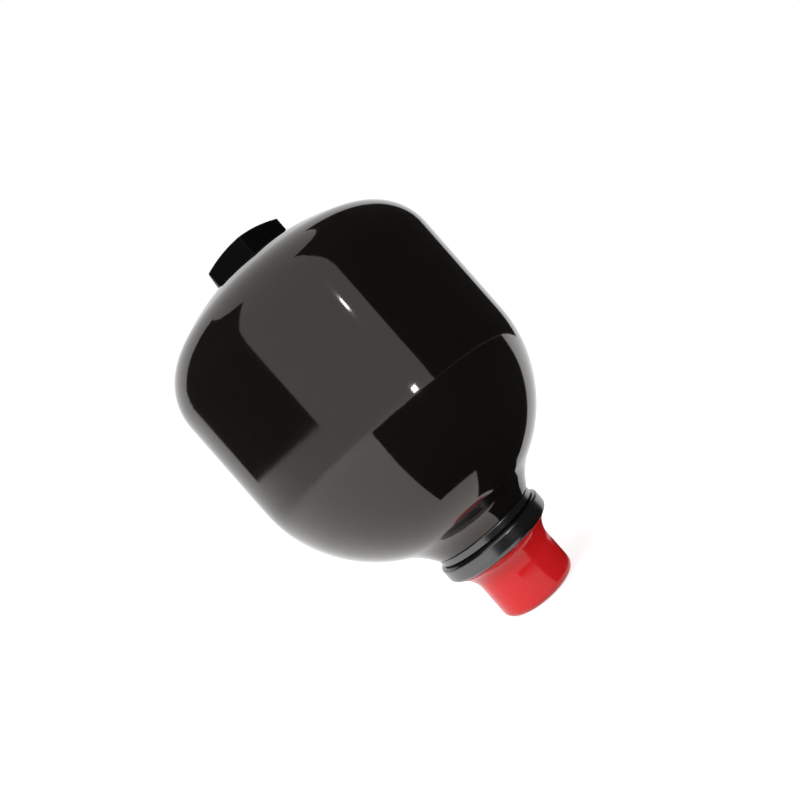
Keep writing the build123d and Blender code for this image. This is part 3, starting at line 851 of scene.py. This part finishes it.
class ACCUMULATOR_OT_springs(bpy.types.Operator):
    """Model the poppet's spring and the valve core's spring as coiled wire"""

    bl_idname = "accumulator.springs"
    bl_label = "Springs"

    def execute(self, context):
        # Each spring: its node, joint, wire thickness, turns and travel in millimetres
        springs = (
            ("poppet_spring", "poppet_lift", 1.2, 4, 5.0),
            ("valve_core_spring", "valve_core_press", 0.3, 5, 1.0),
        )
        for node, joint, wire, turns, travel in springs:
            lowest, highest = (Vector(corner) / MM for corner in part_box(node))
            length = highest.z - lowest.z
            clear_selection()
            bpy.ops.mesh.primitive_circle_add(
                vertices=14, radius=wire / 2 * MM, rotation=(math.radians(90), 0, 0),
                location=((highest.x - wire / 2) * MM, 0, (lowest.z + wire / 2) * MM),
            )
            piece = context.object
            piece.name = node + "_wire"
            settle(piece)
            apply_modifier(
                piece, "SCREW", axis="Z", angle=TURN, screw_offset=(length - wire) / turns * MM,
                iterations=turns, steps=40, render_steps=40, use_merge_vertices=False,
            )
            make_active(piece)
            bpy.ops.object.mode_set(mode="EDIT")
            bpy.ops.mesh.select_all(action="SELECT")
            bpy.ops.mesh.fill_holes(sides=0)
            bpy.ops.object.mode_set(mode="OBJECT")
            recalculate_normals(piece)
            finish_piece(piece, "root", node)
            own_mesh(piece)
        return {"FINISHED"}


class ACCUMULATOR_OT_stage(bpy.types.Operator):
    """Add the floor, the backdrop, the lights and the camera"""

    bl_idname = "accumulator.stage"
    bl_label = "Stage"

    def execute(self, context):
        sizes = context.scene.accumulator_sizes
        self.add_paper()
        self.add_flags()
        self.add_lights()
        self.add_world(context)
        self.add_camera(context, sizes)
        context.scene.view_settings.view_transform = "Standard"
        return {"FINISHED"}

    def add_paper(self):
        """Plain floor in one wide sheet, in metres. The white surroundings stand behind it."""
        clear_selection()
        bpy.ops.mesh.primitive_plane_add(size=6.0, location=(0, 0, 0))
        sheet = bpy.context.object
        sheet.name = "studio_paper"
        settle(sheet)
        wear_finish(sheet, stage_paper("studio_paper", shade=0.5, glow=0.75))

    def add_flags(self):
        """Dark upright screens beside the object and one on the floor, seen in reflections only."""
        dark = bpy.data.materials.new("studio_screen")
        dark.use_nodes = True
        near_black = (0.02, 0.02, 0.02, 1)
        dark.diffuse_color = near_black
        shader = dark.node_tree.nodes["Principled BSDF"]
        shader.inputs["Base Color"].default_value = near_black
        shader.inputs["Roughness"].default_value = 0.9
        shader.inputs["Specular IOR Level"].default_value = 0.0
        # Each screen: its name, profile and the angles from +X between which it stands, in degrees
        screens = (
            ("screen_right", [(700, 2), (700, 1500)], -51, 48),
            ("screen_left", [(700, 150), (700, 1500)], -205, -128),
            ("screen_floor", [(50, 1), (700, 1)], -105, 22),
            ("screen_near", [(19, 1), (50, 1)], -62, 60),
        )
        for name, profile, first, last in screens:
            piece = draw_profile(name, profile)
            bpy.ops.mesh.select_all(action="SELECT")
            bpy.ops.transform.rotate(
                value=-math.radians(first), orient_axis="Z", center_override=(0, 0, 0))
            bpy.ops.mesh.spin(
                steps=24, angle=math.radians(last - first), center=(0, 0, 0), axis=(0, 0, -1))
            bpy.ops.object.mode_set(mode="OBJECT")
            self.hide_from_all_but_gloss(piece)
            wear_finish(piece, dark)

    def hide_from_all_but_gloss(self, piece):
        """Keep a screen out of the picture, the shadows and the diffuse light."""
        piece.visible_camera = False
        piece.visible_diffuse = False
        piece.visible_shadow = False
        piece.visible_transmission = False

    def add_lights(self):
        """Broad soft light that stays out of the reflections, and two small lamps seen in them."""
        aimed_at = Vector((0, 0, 0.09))
        # Each lamp: its name, place and size in metres, power in watts, and if reflections show it
        panels = (
            ("soft_left", (-0.55, -0.45, 0.62), 0.55, 6.5, False),
            ("soft_right", (0.7, -0.25, 0.55), 0.35, 0.8, False),
            ("soft_top", (0.0, 0.1, 0.95), 0.6, 4.0, False),
            ("spark_high", (0.239, -0.49, 0.215), 0.012, 0.022, True),
            ("spark_low", (0.225, -0.506, 0.053), 0.035, 0.2, True),
        )
        for name, place, size, power, reflected in panels:
            clear_selection()
            bpy.ops.object.light_add(type="AREA", location=place)
            lamp = bpy.context.object
            lamp.name = name
            lamp.data.shape = "SQUARE"
            lamp.data.size = size
            lamp.data.energy = power
            lamp.visible_glossy = reflected
            aim = aimed_at - Vector(place)
            lamp.rotation_euler = aim.to_track_quat("-Z", "Y").to_euler()

    def add_world(self, context):
        """Even pale surroundings that show as white behind the object."""
        world = bpy.data.worlds.new("surroundings")
        context.scene.world = world
        world.use_nodes = True
        nodes = world.node_tree.nodes
        links = world.node_tree.links
        background = nodes["Background"]
        background.inputs["Color"].default_value = (1, 1, 1, 1)
        path = nodes.new("ShaderNodeLightPath")
        level = nodes.new("ShaderNodeMapRange")
        level.inputs["To Min"].default_value = 0.55
        level.inputs["To Max"].default_value = 1.0
        seen = nodes.new("ShaderNodeMath")
        seen.operation = "MAXIMUM"
        links.new(path.outputs["Is Camera Ray"], seen.inputs[0])
        links.new(path.outputs["Is Glossy Ray"], seen.inputs[1])
        links.new(seen.outputs["Value"], level.inputs["Value"])
        links.new(level.outputs["Result"], background.inputs["Strength"])

    def add_camera(self, context, sizes):
        """Camera level with the shell, rolled so that the accumulator leans as in the photo."""
        clear_selection()
        bpy.ops.object.camera_add()
        camera = bpy.context.object
        camera.name = "camera"
        across = Vector((math.cos(sizes.camera_roll), 0, -math.sin(sizes.camera_roll)))
        up = Vector((math.sin(sizes.camera_roll), 0, math.cos(sizes.camera_roll)))
        back = Vector((0, -1, 0))
        turn = Matrix((across, up, back)).transposed().to_4x4()
        place = Matrix.Translation((0, -sizes.camera_distance, sizes.camera_height))
        camera.matrix_world = place @ turn
        camera.data.sensor_width = 36
        camera.data.lens = camera.data.sensor_width * sizes.camera_distance / sizes.view_width
        camera.data.shift_x = sizes.shift_x
        camera.data.shift_y = sizes.shift_y
        camera.data.clip_start = 0.01
        context.scene.camera = camera


class ACCUMULATOR_PT_panel(bpy.types.Panel):
    """Lists the accumulator's steps and values in the sidebar"""

    bl_idname = "ACCUMULATOR_PT_panel"
    bl_label = "Accumulator"
    bl_space_type = "VIEW_3D"
    bl_region_type = "UI"
    bl_category = "Accumulator"

    def draw(self, context):
        layout = self.layout
        for step in OPERATORS:
            layout.operator(step.bl_idname)
        for group in (context.scene.accumulator_finish, context.scene.accumulator_sizes):
            for name in group.__annotations__:
                layout.prop(group, name)


OPERATORS = (
    ACCUMULATOR_OT_finishes,
    ACCUMULATOR_OT_oil_port,
    ACCUMULATOR_OT_gas_stub,
    ACCUMULATOR_OT_hexagon_cap,
    ACCUMULATOR_OT_thread_cap,
    ACCUMULATOR_OT_springs,
    ACCUMULATOR_OT_stage,
)
CLASSES = (AccumulatorFinish, AccumulatorSizes, *OPERATORS, ACCUMULATOR_PT_panel)


def register():
    for kind in CLASSES:
        bpy.utils.register_class(kind)
    bpy.types.Scene.accumulator_finish = bpy.props.PointerProperty(type=AccumulatorFinish)
    bpy.types.Scene.accumulator_sizes = bpy.props.PointerProperty(type=AccumulatorSizes)


def unregister():
    del bpy.types.Scene.accumulator_sizes
    del bpy.types.Scene.accumulator_finish
    for kind in reversed(CLASSES):
        bpy.utils.unregister_class(kind)


def main():
    register()
    for step in OPERATORS:
        group, name = step.bl_idname.split(".")
        getattr(getattr(bpy.ops, group), name)()


if __name__ == "__main__":
    main()
